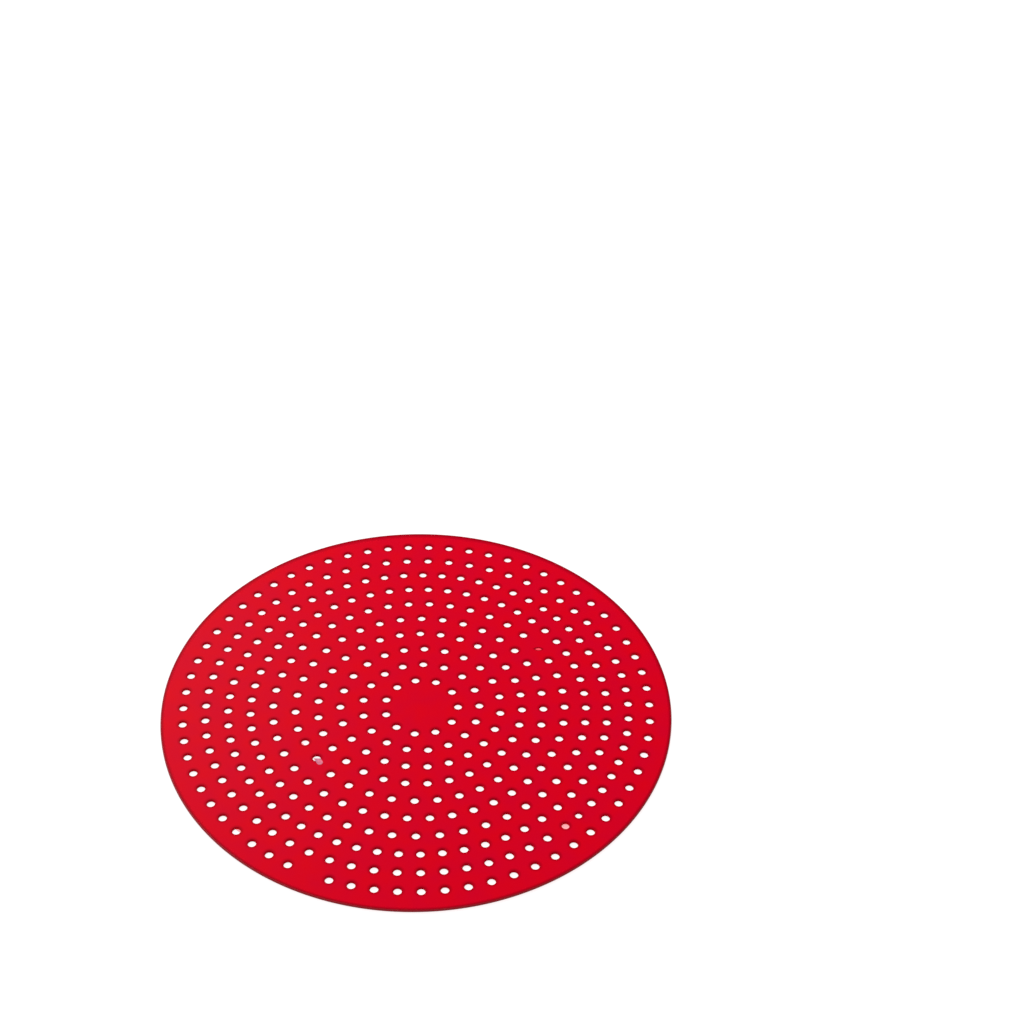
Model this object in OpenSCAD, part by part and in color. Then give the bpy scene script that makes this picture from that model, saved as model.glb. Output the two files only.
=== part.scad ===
// Round silicone liner for the basket of an air fryer.
// One flat sheet, moulded in one piece, with rings of drain holes round a plain centre.
// The origin is the centre of the underside, and +Z runs up through the sheet.

/* [Sheet] */
// Diameter of the liner
liner_d = 216; // [176:1:260]
// Thickness of the sheet
sheet_t = 1.1; // [0.9:0.1:3]
// Radius that rounds the rim, above and below
rim_r = 0.4; // [0.1:0.05:0.4]

/* [Drain holes] */
// Diameter of a drain hole
hole_d = 3.4; // [2.5:0.1:4.5]
// Width of the bevel round the upper lip of a hole
lip_w = 0.2; // [0.05:0.05:0.3]
// Diameter of the innermost ring, through the centres of its holes
first_ring_d = 31; // [28:1:46]
// Width of the plain rim, from the centres of the outermost holes to the edge
rim_band = 9.2; // [6:0.1:14]
// How far the innermost ring sits off the centre of the sheet
inner_shift = 2.85; // [0:0.05:4]

/* [Moulding flaws] */
// Thickness of the flash that is left in a hole
flash_t = 0.15; // [0.1:0.05:0.3]
// Diameter of the hole that came out small
small_hole_d = 2.9; // [1.5:0.1:3.4]
// Diameter of the hole that a film closes
filmed_hole_d = 3.2; // [1.5:0.1:3.4]
// Length of the slit, where a hole is all but shut
slit_l = 3.2; // [1.8:0.1:4]
// Width of that slit at its middle
slit_w = 1.6; // [0.4:0.1:1.6]
// Depth of the slit, down to the film that closes it
slit_depth = 0.3; // [0.1:0.05:0.5]
// Reach of the torn tongue of flash, from the centre of its hole to its tip
tongue_l = 4.2; // [3.4:0.1:5.6]
// Width of that tongue
tongue_w = 3; // [2:0.1:3.8]
// Reach of the flash across the two holes that are partly webbed
web_reach = 0.9; // [0.4:0.1:2]

/* [Hidden] */

// Number of holes in each ring, from the innermost outwards
ring_holes = [11, 17, 23, 30, 35, 42, 51, 59, 63, 66];
// Direction of each ring's first hole, in degrees anticlockwise from +X
ring_start = [3, 5, 12, 11.5, 1.5, 3, 5.5, 1, 5, 3];
// The pins of the mould are set a little unevenly, so the holes drift along their ring.
// This is how far they drift forth and back once in a turn, in degrees, and where most
once_drift = [2, 1, 0, 2, 2, 1, 2, 1, 2, 1.5];
once_peak = [110, 140, 0, -90, -110, 170, 20, 150, -170, 150];
// The same for a drift that comes and goes twice in a turn
twice_drift = [0, 1, 1, 0, 0.5, 0.5, 1.5, 1, 1.5, 0.5];
twice_peak = [0, 80, 60, 0, 80, 90, -30, -10, -50, 20];
// Direction in which the inner rings sit off centre, the innermost the most
shift_dir = -52;

// Holes that aren't plain round ones: each is its ring and its place in that ring, from 0
skipped_hole = [9, 45];
shut_hole = [5, 4];
tongue_hole = [4, 21];
filmed_hole = [8, 54];
small_hole = [8, 55];
webbed_holes = [[9, 41], [4, 20]];
flawed_holes = concat(
    [skipped_hole, shut_hole, tongue_hole, filmed_hole, small_hole],
    webbed_holes
);

// Pins that stand a little further out of place, and how far each has moved its hole
bent_pins = [shut_hole, tongue_hole, filmed_hole, webbed_holes[1]];
bent_by = [[0.5, -1.4], [0.2, 1.3], [0.6, 0.7], [0, 1.6]];

// Direction in which the tongue runs, and the side from which each web has grown
tongue_dir = -58;
web_dirs = [50, 225];
// How far in front of its hole's centre the tongue is torn across
tear_offset = 0.4;

liner_r = liner_d / 2;
// Rounding of the rim, which leaves a narrow flat between its two arcs
rounding = min(rim_r, 0.45 * sheet_t);
rings = len(ring_holes);
ring_pitch = (liner_r - rim_band - first_ring_d / 2) / (rings - 1);
// How far a cutter runs past the face that it cuts
run_out = 0.2;

function ring_r(ring) = first_ring_d / 2 + ring * ring_pitch;

function hole_angle(hole) =
    let (ring = hole[0], even = ring_start[ring] + hole[1] * 360 / ring_holes[ring])
    even
    + once_drift[ring] * cos(even - once_peak[ring])
    + twice_drift[ring] * cos(2 * (even - twice_peak[ring]));

function bend(hole) =
    let (bends = [for (i = [0 : len(bent_pins) - 1]) if (bent_pins[i] == hole) bent_by[i]])
    len(bends) == 0 ? [0, 0] : bends[0];

function hole_centre(hole) =
    let (shift = inner_shift * (1 - hole[0] / (rings - 1)), angle = hole_angle(hole))
    ring_r(hole[0]) * [cos(angle), sin(angle)]
    + shift * [cos(shift_dir), sin(shift_dir)]
    + bend(hole);

function is_plain(hole) = len([for (flawed = flawed_holes) if (flawed == hole) 1]) == 0;

// Places a cutter or a scrap of flash at a hole, without turning it
module at_hole(hole) {
    translate(hole_centre(hole))
        children();
}

// Half section of the sheet, with its rounded rim
module sheet_section() {
    square([liner_r - rounding, sheet_t]);
    translate([0, rounding])
        square([liner_r, sheet_t - 2 * rounding]);
    for (z = [rounding, sheet_t - rounding])
        translate([liner_r - rounding, z])
            circle(r = rounding, $fn = 32);
}

module plain_sheet() {
    rotate_extrude($fn = 256)
        sheet_section();
}

// Hole down to a given height, right through unless one is given, with its upper lip bevelled
module drain_hole(d = hole_d, floor_z = -run_out) {
    r = d / 2;
    rotate_extrude($fn = 48)
        polygon([
            [0, floor_z],
            [r, floor_z],
            [r, sheet_t - lip_w],
            [r + lip_w + run_out, sheet_t + run_out],
            [0, sheet_t + run_out]
        ]);
}

// Hole with a web of flash along one side of its underside
module webbed_drain_hole(dir) {
    drain_hole(floor_z = flash_t);
    intersection() {
        drain_hole();
        rotate([0, 0, dir])
            translate([-hole_d / 2 - web_reach, -hole_d, -run_out])
                cube([hole_d, 2 * hole_d, sheet_t + 2 * run_out]);
    }
}

// Upright cutter for the slit, whose two arcs meet in points
module slit_cutter(low, high) {
    arc_r = (slit_l * slit_l + slit_w * slit_w) / (4 * slit_w);
    intersection_for (side = [-1, 1])
        translate([0, side * (arc_r - slit_w / 2), low])
            cylinder(h = high - low, r = arc_r, $fn = 96);
}

// The slit, sunk from above and from below, with a film of flash left between
module filmed_slit() {
    slit_cutter(sheet_t - slit_depth, sheet_t + run_out);
    slit_cutter(-run_out, sheet_t - slit_depth - flash_t);
}

// Tongue of flash, torn across its hole and lying flat on the sheet in front
module flash_tongue() {
    end_r = tongue_w / 2;
    to_end = tongue_l - end_r;
    translate([0, 0, sheet_t - flash_t / 2])
        linear_extrude(height = flash_t)
            intersection() {
                rotate(tongue_dir) {
                    translate([0, -end_r])
                        square([to_end, tongue_w]);
                    for (x = [0, to_end])
                        translate([x, 0])
                            circle(r = end_r, $fn = 48);
                }
                translate([-tongue_l, -tear_offset - 2 * tongue_l])
                    square(2 * tongue_l);
            }
}

module all_plain_holes() {
    for (ring = [0 : rings - 1])
        for (i = [0 : ring_holes[ring] - 1])
            if (is_plain([ring, i]))
                at_hole([ring, i])
                    drain_hole();
}

module all_flawed_holes() {
    at_hole(shut_hole)
        filmed_slit();
    at_hole(tongue_hole)
        drain_hole();
    at_hole(filmed_hole)
        drain_hole(filmed_hole_d, floor_z = flash_t);
    at_hole(small_hole)
        drain_hole(small_hole_d);
    for (i = [0 : len(webbed_holes) - 1])
        at_hole(webbed_holes[i])
            webbed_drain_hole(web_dirs[i]);
}

// The whole liner
module liner() {
    color("crimson") {
        difference() {
            plain_sheet();
            all_plain_holes();
            all_flawed_holes();
        }
        at_hole(tongue_hole)
            flash_tongue();
    }
}

liner();
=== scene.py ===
import math

import bpy
from mathutils import Matrix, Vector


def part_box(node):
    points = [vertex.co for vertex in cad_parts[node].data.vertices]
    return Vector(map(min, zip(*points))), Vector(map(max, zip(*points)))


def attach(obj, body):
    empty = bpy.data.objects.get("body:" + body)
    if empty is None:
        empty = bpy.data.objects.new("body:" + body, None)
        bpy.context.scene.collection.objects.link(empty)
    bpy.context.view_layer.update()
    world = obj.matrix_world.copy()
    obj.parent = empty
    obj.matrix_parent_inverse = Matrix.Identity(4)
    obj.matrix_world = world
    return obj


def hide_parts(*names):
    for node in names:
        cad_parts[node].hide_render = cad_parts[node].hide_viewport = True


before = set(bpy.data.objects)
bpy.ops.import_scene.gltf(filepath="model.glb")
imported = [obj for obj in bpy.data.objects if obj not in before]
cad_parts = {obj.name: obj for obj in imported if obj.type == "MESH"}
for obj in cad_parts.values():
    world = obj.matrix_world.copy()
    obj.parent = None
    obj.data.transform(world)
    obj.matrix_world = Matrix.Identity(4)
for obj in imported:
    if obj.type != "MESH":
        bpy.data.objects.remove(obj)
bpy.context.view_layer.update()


# The sheet: one thin disc of red silicone, pressed flat in a heated mould. Steel pins in the
# mould leave the drain holes, in ten rings round a plain centre. The pins aren't evenly set, so
# the spacing along a ring drifts, and the upper lips and the rim come out a little round.
_, sheet_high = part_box("liner")
rim_radius = min(sheet_high.x, sheet_high.y)
sheet_top = 0.0011
rim_rounding = 0.0004
rim_sides = 384
hair = 0.00001
rounding_steps = 4
hole_radius = 0.0017
small_hole_radius = 0.00145
filmed_hole_radius = 0.0016
lip = 0.0002
hole_sides = 20
first_ring_radius = 0.0155
rim_band = 0.0092
inner_shift = 0.00285
shift_direction = math.radians(-52)
slit_length = 0.0032
slit_width = 0.0016
# Painted shade: a darker red band round each hole's lip and along the rim, with its width and how
# deep it goes
hole_shade_band_width = 0.0012
hole_painted_shade = 0.65
rim_shade_band_width = 0.0012
far_rim_shade_band_width = 0.0028
rim_painted_shade = 1

# For each ring: its holes, the direction of the first, and how far they drift along the ring
# once and twice in a turn, each with the direction in which that drift peaks
rings = (
    (11, 3, 2, 110, 0, 0),
    (17, 5, 1, 140, 1, 80),
    (23, 12, 0, 0, 1, 60),
    (30, 11.5, 2, -90, 0, 0),
    (35, 1.5, 2, -110, 0.5, 80),
    (42, 3, 1, 170, 0.5, 90),
    (51, 5.5, 2, 20, 1.5, -30),
    (59, 1, 1, 150, 1, -10),
    (63, 5, 2, -170, 1.5, -50),
    (66, 3, 1.5, 150, 0.5, 20),
)
ring_pitch = (rim_radius - rim_band - first_ring_radius) / (len(rings) - 1)
skipped_hole = (9, 45)
shut_hole = (5, 4)
tongue_hole = (4, 21)
filmed_hole = (8, 54)
small_hole = (8, 55)
webbed_holes = ((9, 41), (4, 20))

# Pins that stand a little further out of place, and how far each has moved its hole
bent_pins = {
    (5, 4): (0.0005, -0.0014),
    (4, 21): (0.0002, 0.0013),
    (8, 54): (0.0006, 0.0007),
    (4, 20): (0, 0.0016),
}


def hole_centre(ring, place):
    count, first, once, once_peak, twice, twice_peak = rings[ring]
    even = first + place * 360 / count
    drift = once * math.cos(math.radians(even - once_peak))
    drift += twice * math.cos(math.radians(2 * (even - twice_peak)))
    angle = math.radians(even + drift)
    radius = first_ring_radius + ring * ring_pitch
    shift = inner_shift * (1 - ring / (len(rings) - 1))
    bend_x, bend_y = bent_pins.get((ring, place), (0, 0))
    x = radius * math.cos(angle) + shift * math.cos(shift_direction) + bend_x
    y = radius * math.sin(angle) + shift * math.sin(shift_direction) + bend_y
    return x, y


def swept_ring(name, sides, outline, deepest_painted_shade):
    """An open tube: a circle drawn out through each radius and height of the outline. Its painted
    shade is deepest at its second circle, which the first one's flat band leads up to."""
    radius, height = outline[0]
    bpy.ops.object.select_all(action="DESELECT")
    bpy.ops.mesh.primitive_circle_add(vertices=sides, radius=radius, location=(0, 0, height))
    tube = bpy.context.object
    tube.name = name
    bpy.ops.object.transform_apply(location=True)
    bpy.ops.object.mode_set(mode="EDIT")
    bpy.ops.mesh.select_all(action="SELECT")
    for next_radius, next_height in outline[1:]:
        step = (0, 0, next_height - height)
        grown = next_radius / radius
        bpy.ops.mesh.extrude_region_move(TRANSFORM_OT_translate={"value": step})
        bpy.ops.transform.resize(value=(grown, grown, 1), center_override=(0, 0, 0))
        radius, height = next_radius, next_height
    bpy.ops.object.mode_set(mode="OBJECT")
    # The second circle carries the full painted shade, the first none
    tint = tube.data.attributes.new("painted_edge_shade", "FLOAT", "POINT")
    for corner in range(sides, 2 * sides):
        tint.data[corner].value = deepest_painted_shade
    return tube


def bore_outline(radius):
    return (
        (radius + lip + hole_shade_band_width, sheet_top),
        (radius + lip, sheet_top),
        (radius, sheet_top - lip),
        (radius, 0),
    )


def rim_outline():
    quarter = [math.pi / 2 * step / rounding_steps for step in range(rounding_steps + 1)]
    upper = [
        (rim_radius - rim_rounding * (1 - math.sin(a)), sheet_top - rim_rounding * (1 - math.cos(a)))
        for a in quarter
    ]
    shade_band = [(upper[0][0] - rim_shade_band_width, sheet_top)]
    return shade_band + upper + [(radius, sheet_top - height) for radius, height in reversed(upper)]


def squeeze_to_slit(shape):
    """Turns each circle of the shape into two shallow arcs that meet in points."""
    arc_radius = (slit_length**2 + slit_width**2) / (4 * slit_width)
    for vertex in shape.data.vertices:
        scale = math.hypot(vertex.co.x, vertex.co.y) / (slit_length / 2)
        run = vertex.co.x / scale
        depth = math.sqrt(arc_radius**2 - run**2) - (arc_radius - slit_width / 2)
        vertex.co.y = math.copysign(scale * max(depth, 0), vertex.co.y)


bore = swept_ring("bore", hole_sides, bore_outline(hole_radius), hole_painted_shade)
small_bore = swept_ring("small_bore", hole_sides, bore_outline(small_hole_radius), hole_painted_shade)
filmed_bore = swept_ring("filmed_bore", hole_sides, bore_outline(filmed_hole_radius), hole_painted_shade)
half_slit = slit_length / 2
slit_outline = ((half_slit + hole_shade_band_width, sheet_top), (half_slit, sheet_top), (half_slit, 0))
slit = swept_ring("slit", hole_sides, slit_outline, 1)
squeeze_to_slit(slit)

liner = swept_ring("liner_sheet", rim_sides, rim_outline(), rim_painted_shade)

# The painted shade at the edge runs a little further in along the far side
for corner in liner.data.vertices[:rim_sides]:
    far_share = max(corner.co.y, 0) / corner.co.xy.length
    further_in = (far_rim_shade_band_width - rim_shade_band_width) * far_share
    corner.co.xy *= 1 - further_in / corner.co.xy.length

shapes = {shut_hole: slit, small_hole: small_bore, filmed_hole: filmed_bore}
holes = []
for ring, (count, *_) in enumerate(rings):
    for place in range(count):
        if (ring, place) == skipped_hole:
            continue
        shape = shapes.get((ring, place), bore)
        hole = shape.copy()
        hole.data = shape.data.copy()
        x, y = hole_centre(ring, place)
        hole.data.transform(Matrix.Translation((x, y, 0)))
        bpy.context.collection.objects.link(hole)
        holes.append(hole)
for shape in (bore, small_bore, filmed_bore, slit):
    bpy.data.objects.remove(shape)

bpy.ops.object.select_all(action="DESELECT")
for hole in holes:
    hole.select_set(True)
liner.select_set(True)
bpy.context.view_layer.objects.active = liner
bpy.ops.object.join()

# The two flat faces are drawn across all the open edges that lie at their height, to a hair
for height in (sheet_top, 0):
    bpy.ops.object.mode_set(mode="EDIT")
    bpy.ops.mesh.select_mode(type="EDGE")
    bpy.ops.mesh.select_all(action="DESELECT")
    bpy.ops.mesh.select_non_manifold(
        use_wire=False, use_multi_face=False, use_non_contiguous=False, use_verts=False
    )
    bpy.ops.object.mode_set(mode="OBJECT")
    corners = liner.data.vertices
    for edge in liner.data.edges:
        if edge.select and abs(corners[edge.vertices[0]].co.z - height) > hair:
            edge.select = False
    bpy.ops.object.mode_set(mode="EDIT")
    bpy.ops.mesh.fill(use_beauty=True)
bpy.ops.mesh.select_all(action="SELECT")
bpy.ops.mesh.normals_make_consistent(inside=False)
bpy.ops.object.mode_set(mode="OBJECT")


def silicone(name, colour, painted_shade_colour, roughness, gloss):
    """Solid-coloured silicone: faintly mottled between a cooler and a warmer red, with painted shade
    that makes it deeper at the edges, and a fine grain."""
    material = bpy.data.materials.new(name)
    material.use_nodes = True
    nodes = material.node_tree.nodes
    links = material.node_tree.links
    shader = nodes["Principled BSDF"]
    shader.inputs["Roughness"].default_value = roughness
    shader.inputs["Specular IOR Level"].default_value = gloss
    place = nodes.new("ShaderNodeTexCoord")
    clouds = nodes.new("ShaderNodeTexNoise")
    clouds.inputs["Scale"].default_value = 90
    clouds.inputs["Detail"].default_value = 5
    links.new(place.outputs["Object"], clouds.inputs["Vector"])
    mottle = nodes.new("ShaderNodeValToRGB")
    mottle.color_ramp.elements[0].position = 0.3
    red, green, blue = colour
    mottle.color_ramp.elements[0].color = (0.96 * red, green, 1.3 * blue, 1)
    mottle.color_ramp.elements[1].position = 0.7
    mottle.color_ramp.elements[1].color = (1.04 * red, green, 0.75 * blue, 1)
    links.new(clouds.outputs["Fac"], mottle.inputs["Fac"])
    # The painted shade band mixes the shaded red into the mottled red
    shade_band = nodes.new("ShaderNodeAttribute")
    shade_band.attribute_name = "painted_edge_shade"
    tint = nodes.new("ShaderNodeMix")
    tint.data_type = "RGBA"
    tint.inputs["B"].default_value = (*painted_shade_colour, 1)
    links.new(shade_band.outputs["Fac"], tint.inputs["Factor"])
    links.new(mottle.outputs["Color"], tint.inputs["A"])
    links.new(tint.outputs["Result"], shader.inputs["Base Color"])
    grain = nodes.new("ShaderNodeTexNoise")
    grain.inputs["Scale"].default_value = 2500
    grain.inputs["Detail"].default_value = 2
    links.new(place.outputs["Object"], grain.inputs["Vector"])
    bump = nodes.new("ShaderNodeBump")
    bump.inputs["Strength"].default_value = 0.15
    bump.inputs["Distance"].default_value = 0.00002
    links.new(grain.outputs["Fac"], bump.inputs["Height"])
    links.new(bump.outputs["Normal"], shader.inputs["Normal"])
    return material


# Painted shade: the hole walls take a darker copy of the face red, and the rim's side the deep red
painted_shade_red = (0.3, 0.0003, 0.008)
face_red = silicone("red_silicone_face", (0.69, 0.0005, 0.0145), painted_shade_red, 0.3, 0.005)
shaded_wall_red = silicone("red_silicone_hole_wall_painted_shade", (0.56, 0.0004, 0.012), painted_shade_red, 0.5, 0.01)
shaded_edge_red = silicone("red_silicone_edge_painted_shade", painted_shade_red, painted_shade_red, 0.4, 0.2)
for red in (face_red, shaded_wall_red, shaded_edge_red):
    liner.data.materials.append(red)
# Flat faces take the face red; the walls take the reds with painted shade
for face in liner.data.polygons:
    at_rim = face.center.xy.length > rim_radius - rim_shade_band_width
    if abs(face.normal.z) > 0.99:
        face.material_index = 0
    else:
        face.material_index = 2 if at_rim else 1

bpy.ops.object.select_all(action="DESELECT")
liner.select_set(True)
bpy.context.view_layer.objects.active = liner
bpy.ops.object.shade_smooth_by_angle(angle=math.radians(30))
bpy.ops.object.modifier_add(type="WEIGHTED_NORMAL")
liner.modifiers[-1].keep_sharp = True
bpy.ops.object.modifier_apply(modifier=liner.modifiers[-1].name)

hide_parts("liner")
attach(liner, "root")


# The flash: scraps of the same silicone, thin enough for light to come through, that crept
# round badly seated pins. A film closes one hole and one slit, a web part of two holes, and a
# tongue that is torn across its hole lies on the sheet in front of it.
flash_thickness = 0.00015
slit_depth = 0.0003
web_directions = (50, 225)
web_reach = 0.0009
tongue_direction = math.radians(-58)
tongue_length = 0.0042
tongue_width = 0.0025
tear_offset = 0.0004


def flash_silicone(name, deep, pale, alpha, painted_glow):
    """Silicone too thin to hide what is under it. The light that comes through it from below is
    painted on, as a glow of its own red.
    """
    material = bpy.data.materials.new(name)
    material.use_nodes = True
    nodes = material.node_tree.nodes
    links = material.node_tree.links
    shader = nodes["Principled BSDF"]
    shader.inputs["Roughness"].default_value = 0.45
    shader.inputs["Specular IOR Level"].default_value = 0.1
    shader.inputs["Alpha"].default_value = alpha
    # Painted light: the emission stands in for the light that comes through from below
    shader.inputs["Emission Color"].default_value = (*pale, 1)
    shader.inputs["Emission Strength"].default_value = painted_glow
    place = nodes.new("ShaderNodeTexCoord")
    clouds = nodes.new("ShaderNodeTexNoise")
    clouds.inputs["Scale"].default_value = 900
    clouds.inputs["Detail"].default_value = 3
    links.new(place.outputs["Object"], clouds.inputs["Vector"])
    tint = nodes.new("ShaderNodeValToRGB")
    tint.color_ramp.elements[0].position = 0.35
    tint.color_ramp.elements[0].color = (*deep, 1)
    tint.color_ramp.elements[1].position = 0.65
    tint.color_ramp.elements[1].color = (*pale, 1)
    links.new(clouds.outputs["Fac"], tint.inputs["Fac"])
    links.new(tint.outputs["Color"], shader.inputs["Base Color"])
    return material


thin_flash = flash_silicone("thin_flash", (0.95, 0.24, 0.27), (1, 0.32, 0.35), 0.5, 0.38)
slit_flash = flash_silicone("slit_flash", (0.85, 0.04, 0.06), (1, 0.1, 0.13), 0.9, 0.3)
torn_flash = flash_silicone("torn_flash", (0.44, 0.15, 0.26), (0.88, 0.2, 0.28), 0.85, 0.12)
scraps = []


def flash_disc(name, radius, low, hole, material):
    """A flat round scrap at the middle of the sheet, put in its hole at the end."""
    bpy.ops.object.select_all(action="DESELECT")
    bpy.ops.mesh.primitive_circle_add(
        vertices=2 * hole_sides, radius=radius, fill_type="NGON", location=(0, 0, low)
    )
    scrap = bpy.context.object
    scrap.name = name
    bpy.ops.object.transform_apply(location=True)
    scrap.data.materials.append(material)
    scraps.append((scrap, hole))
    return scrap


def cut_away(point, direction):
    """Cuts the scrap in hand, and drops what lies in the direction given."""
    bpy.ops.object.mode_set(mode="EDIT")
    bpy.ops.mesh.select_all(action="SELECT")
    bpy.ops.mesh.bisect(plane_co=point, plane_no=direction, clear_outer=True)
    bpy.ops.object.mode_set(mode="OBJECT")


flash_disc("film", filmed_hole_radius, 0, filmed_hole, thin_flash)

slit_low = sheet_top - slit_depth - flash_thickness
slit_film = flash_disc("slit_film", half_slit, slit_low, shut_hole, slit_flash)
squeeze_to_slit(slit_film)

for hole, degrees in zip(webbed_holes, web_directions):
    flash_disc("web", hole_radius, 0, hole, thin_flash)
    side = Matrix.Rotation(math.radians(degrees), 3, "Z").col[0]
    cut_away(side * (hole_radius - web_reach), -side)

tongue_low = sheet_top - flash_thickness / 2
tongue = flash_disc("tongue", tongue_width / 2, tongue_low, tongue_hole, torn_flash)
for vertex in tongue.data.vertices:
    if vertex.co.x > -hair:
        vertex.co.x += tongue_length - tongue_width / 2
tongue.data.transform(Matrix.Rotation(tongue_direction, 4, "Z"))
cut_away((0, -tear_offset, 0), (0, 1, 0))

for scrap, hole in scraps:
    bpy.ops.object.select_all(action="DESELECT")
    scrap.select_set(True)
    bpy.context.view_layer.objects.active = scrap
    bpy.ops.object.mode_set(mode="EDIT")
    bpy.ops.mesh.select_all(action="SELECT")
    bpy.ops.mesh.extrude_region_move(TRANSFORM_OT_translate={"value": (0, 0, flash_thickness)})
    bpy.ops.mesh.select_all(action="SELECT")
    bpy.ops.mesh.normals_make_consistent(inside=False)
    bpy.ops.object.mode_set(mode="OBJECT")
    x, y = hole_centre(*hole)
    scrap.data.transform(Matrix.Translation((x, y, 0)))
bpy.ops.object.select_all(action="DESELECT")
for scrap, _ in scraps:
    scrap.select_set(True)
flash = scraps[0][0]
flash.name = "flash"
bpy.context.view_layer.objects.active = flash
bpy.ops.object.join()

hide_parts("liner")
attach(flash, "root")


# The surface that it lies on: a plain white table top, which keeps the liner's soft shadow.
# The white all round it is the same white, in the world behind.
floor_width = 6
floor_drop = 0.00005
bpy.ops.object.select_all(action="DESELECT")
bpy.ops.mesh.primitive_plane_add(size=floor_width, location=(0, 0, -floor_drop))
floor = bpy.context.object
floor.name = "floor"
floor_white = bpy.data.materials.new("floor_white")
floor_white.use_nodes = True
floor_nodes = floor_white.node_tree.nodes
floor_links = floor_white.node_tree.links
floor_shader = floor_nodes["Principled BSDF"]
floor_shader.inputs["Base Color"].default_value = (0.97, 0.97, 0.97, 1)
floor_shader.inputs["Roughness"].default_value = 1
floor_shader.inputs["Specular IOR Level"].default_value = 0
floor.data.materials.append(floor_white)


def seen_directly(nodes, links, share):
    """That share of the light rays that reach the camera straight, by reflection or through."""
    path = nodes.new("ShaderNodeLightPath")
    straight = nodes.new("ShaderNodeMath")
    straight.operation = "MAXIMUM"
    links.new(path.outputs["Is Camera Ray"], straight.inputs[0])
    links.new(path.outputs["Is Glossy Ray"], straight.inputs[1])
    through = nodes.new("ShaderNodeMath")
    through.operation = "MAXIMUM"
    links.new(straight.outputs["Value"], through.inputs[0])
    links.new(path.outputs["Is Transmission Ray"], through.inputs[1])
    scaled = nodes.new("ShaderNodeMath")
    scaled.operation = "MULTIPLY"
    scaled.inputs[1].default_value = share
    links.new(through.outputs["Value"], scaled.inputs[0])
    return scaled.outputs["Value"]


# The floor seen straight on glows white with a faint pink tint: painted red light bounced off the
# liner, which shows only where the floor lies in shade
floor_glow_and_painted_bounce = floor_nodes.new("ShaderNodeEmission")
floor_glow_and_painted_bounce.inputs["Color"].default_value = (1, 0.94, 0.94, 1)
floor_glow_and_painted_bounce.inputs["Strength"].default_value = 1.25
floor_mix = floor_nodes.new("ShaderNodeMixShader")
floor_links.new(seen_directly(floor_nodes, floor_links, 0.7), floor_mix.inputs["Fac"])
floor_links.new(floor_shader.outputs["BSDF"], floor_mix.inputs[1])
floor_links.new(floor_glow_and_painted_bounce.outputs["Emission"], floor_mix.inputs[2])
floor_links.new(floor_mix.outputs["Shader"], floor_nodes["Material Output"].inputs["Surface"])

world = bpy.data.worlds.new("studio_white")
bpy.context.scene.world = world
world.use_nodes = True
world_nodes = world.node_tree.nodes
world_links = world.node_tree.links
room_light = world_nodes["Background"]
room_light.inputs["Color"].default_value = (1, 1, 1, 1)
room_light.inputs["Strength"].default_value = 0.55
backdrop = world_nodes.new("ShaderNodeBackground")
backdrop.inputs["Color"].default_value = (1, 1, 1, 1)
backdrop.inputs["Strength"].default_value = 1
world_mix = world_nodes.new("ShaderNodeMixShader")
world_links.new(seen_directly(world_nodes, world_links, 1), world_mix.inputs["Fac"])
world_links.new(room_light.outputs["Background"], world_mix.inputs[1])
world_links.new(backdrop.outputs["Background"], world_mix.inputs[2])
world_links.new(world_mix.outputs["Shader"], world_nodes["World Output"].inputs["Surface"])


# The lamps: a soft box high behind the liner on its left, and a weaker one at its left side.
# The far wall of each hole faces away from the first, and stays in shade.
def soft_box(name, place, size, power):
    bpy.ops.object.light_add(type="AREA", location=place)
    lamp = bpy.context.object
    lamp.name = name
    lamp.data.shape = "DISK"
    lamp.data.size = size
    lamp.data.energy = power
    lamp.rotation_euler = (-lamp.location).to_track_quat("-Z", "Y").to_euler()
    return lamp


soft_box("soft_box_behind", (-0.52, 1.24, 1.3), 0.55, 18.4)
soft_box("soft_box_left", (-1.3, 0.1, 0.8), 0.6, 3.5)


# The camera stands where the photographer stood, looking down on the liner from its front. Its
# place was worked out from the liner's outline and its holes.
photo_side = 1024
camera_pixels = 1783
camera_dip = 40.77
camera_tilt = math.radians(90 - camera_dip)
camera_roll = math.radians(2.04)
camera_place = (0.0372, -0.5207, 0.5586)
bpy.ops.object.camera_add(location=camera_place)
camera = bpy.context.object
turned = Matrix.Rotation(camera_tilt, 3, "X") @ Matrix.Rotation(camera_roll, 3, "Z")
camera.rotation_euler = turned.to_euler()
camera.data.sensor_width = 36
camera.data.lens = camera_pixels * camera.data.sensor_width / photo_side
bpy.context.scene.camera = camera
bpy.context.scene.view_settings.view_transform = "Standard"
